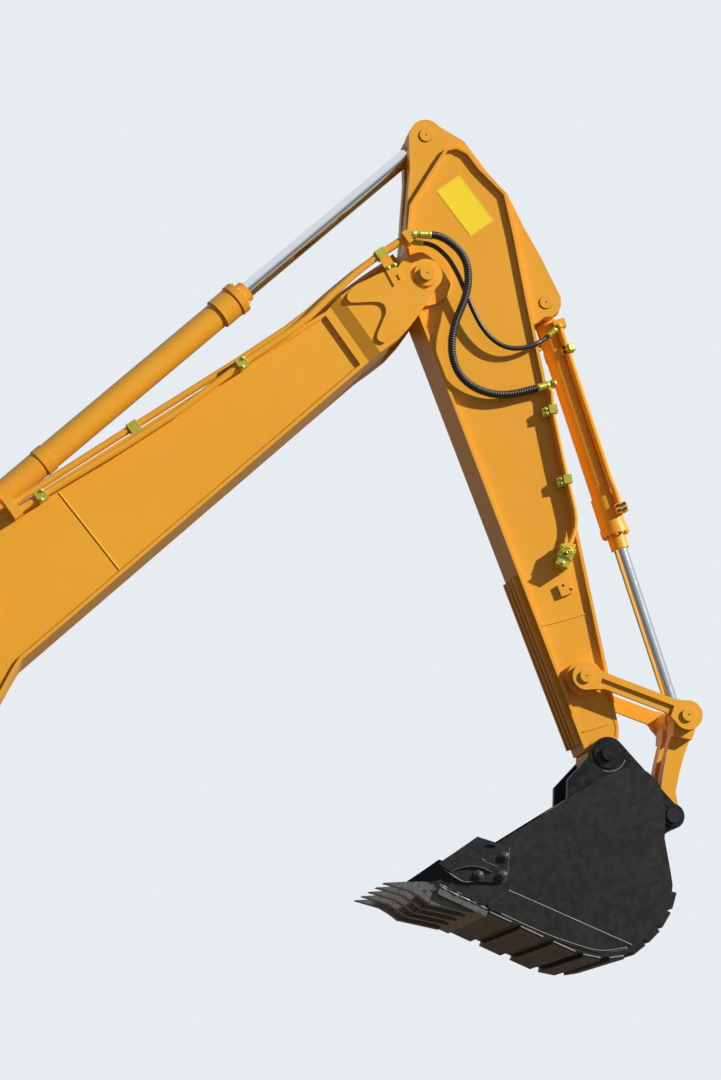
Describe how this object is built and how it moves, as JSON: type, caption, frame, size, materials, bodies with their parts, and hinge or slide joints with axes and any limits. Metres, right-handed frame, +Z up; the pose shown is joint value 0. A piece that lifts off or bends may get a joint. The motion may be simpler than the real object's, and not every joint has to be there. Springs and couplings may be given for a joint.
{
  "type": "excavator boom, arm and bucket",
  "caption": "Working arm of a crawler excavator: cranked boom, arm and toothed digging bucket with hydraulic cylinders, links, pipes and hoses.",
  "frame": {"origin": "centre of the boom's foot pin bore, halfway across the boom", "axes": "+X forward, away from the machine; +Y along the foot pin, to the machine's left; +Z up. Stored with the boom, arm and bucket as they stand in the picture"},
  "size_m": [5.1421, 1.26, 5.6703],
  "materials": {
    "paint": "semi-gloss machine enamel, yellow-orange",
    "bucket_paint": "matt charcoal paint",
    "tooth_steel": "cast steel under thin dark paint",
    "pin_steel": "pin heads painted over",
    "rod_chrome": "hard chrome, polished",
    "zinc_fittings": "yellow zinc chromate",
    "hose_rubber": "black hose cover"
  },
  "bodies": {
    "boom": {"boom_box": "paint", "boom_tip_fork": "paint", "boom_foot": "paint", "boom_lift_boss": "paint", "arm_cylinder_bracket": "paint", "boom_pipes": "paint", "boom_clamps": "zinc_fittings", "hose_blocks": "paint", "hose_ends": "zinc_fittings", "arm_pivot_pin": "pin_steel", "arm_cylinder_base_pin": "pin_steel", "large_hose_right": "hose_rubber", "large_hose_left": "hose_rubber", "small_hose_right": "hose_rubber", "small_hose_left": "hose_rubber"},
    "arm": {"arm_box": "paint", "arm_head": "paint", "arm_pivot_boss": "paint", "arm_tip_boss": "paint", "arm_link_boss": "paint", "arm_belly_bars": "paint", "arm_pipes": "paint", "arm_valves": "paint", "arm_clamps": "zinc_fittings", "arm_rod_pins": "pin_steel", "bucket_cylinder_pin": "pin_steel", "idler_pin": "pin_steel"},
    "arm_cylinder": {"arm_barrel": "paint", "arm_gland": "paint", "arm_cylinder_lines": "paint"},
    "arm_piston_rod": {"arm_rod": "rod_chrome", "arm_rod_eye": "paint"},
    "bucket_cylinder": {"bucket_barrel": "paint", "bucket_gland": "paint", "bucket_cylinder_lines": "paint", "bucket_cylinder_clamp": "zinc_fittings"},
    "bucket_piston_rod": {"bucket_rod": "rod_chrome", "bucket_rod_eye": "paint"},
    "idler_links": {"idler_right": "paint", "idler_left": "paint", "link_pins": "pin_steel"},
    "h_link": {"bucket_link": "paint"},
    "bucket": {"bucket_wrapper": "bucket_paint", "bucket_sides": "bucket_paint", "bucket_lip": "bucket_paint", "bucket_ears": "bucket_paint", "tooth_adapters": "tooth_steel", "bucket_teeth": "tooth_steel", "side_cutters": "bucket_paint", "wear_plates": "bucket_paint", "bucket_pin": "bucket_paint", "bucket_link_pins": "bucket_paint"}
  },
  "joints": [
    {"name": "arm_swing", "type": "hinge", "parent": "boom", "child": "arm", "pos_m": [3.4434, 0, 4.56364], "axis": [0, -1, 0], "range_deg": [-31, 85], "deforming": ["large_hose_right", "large_hose_left", "small_hose_right", "small_hose_left"]},
    {"name": "bucket_curl", "type": "hinge", "parent": "arm", "child": "bucket", "pos_m": [4.47554, 0, 1.83215], "axis": [0, -1, 0], "range_deg": [-55, 105]},
    {"name": "arm_cylinder_tilt", "type": "hinge", "parent": "boom", "child": "arm_cylinder", "pos_m": [0.96104, 0, 3.14798], "axis": [0, -1, 0], "range_deg": [-3.1, 7.9]},
    {"name": "arm_cylinder_stroke", "type": "slide", "parent": "arm_cylinder", "child": "arm_piston_rod", "axis": [0.7374, 0, 0.6754], "range_m": [-1.104, 0.404]},
    {"name": "bucket_cylinder_tilt", "type": "hinge", "parent": "arm", "child": "bucket_cylinder", "pos_m": [4.16638, 0, 4.46375], "axis": [0, -1, 0], "range_deg": [-3.7, 6.7]},
    {"name": "bucket_cylinder_stroke", "type": "slide", "parent": "bucket_cylinder", "child": "bucket_piston_rod", "axis": [0.3019, 0, -0.9534], "range_m": [-0.72, 0.379]},
    {"name": "idler_swing", "type": "hinge", "parent": "arm", "child": "idler_links", "pos_m": [4.34619, 0, 2.26218], "axis": [0, -1, 0], "range_deg": [-41.9, 79.7]},
    {"name": "link_swing", "type": "hinge", "parent": "idler_links", "child": "h_link", "pos_m": [4.9291, 0, 2.05485], "axis": [0, -1, 0], "range_deg": [-50.4, 26.5]}
  ],
  "couplings": [
    {"joint": "arm_cylinder_tilt", "follows": "arm_swing", "ratio": 0.0896},
    {"joint": "arm_cylinder_stroke", "follows": "arm_swing", "m_per_rad": -0.742},
    {"joint": "bucket_cylinder_tilt", "follows": "bucket_curl", "ratio": 0.06109},
    {"joint": "bucket_cylinder_stroke", "follows": "bucket_curl", "m_per_rad": -0.39134},
    {"joint": "idler_swing", "follows": "bucket_curl", "ratio": 0.75597},
    {"joint": "link_swing", "follows": "bucket_curl", "ratio": -0.47709}
  ]
}
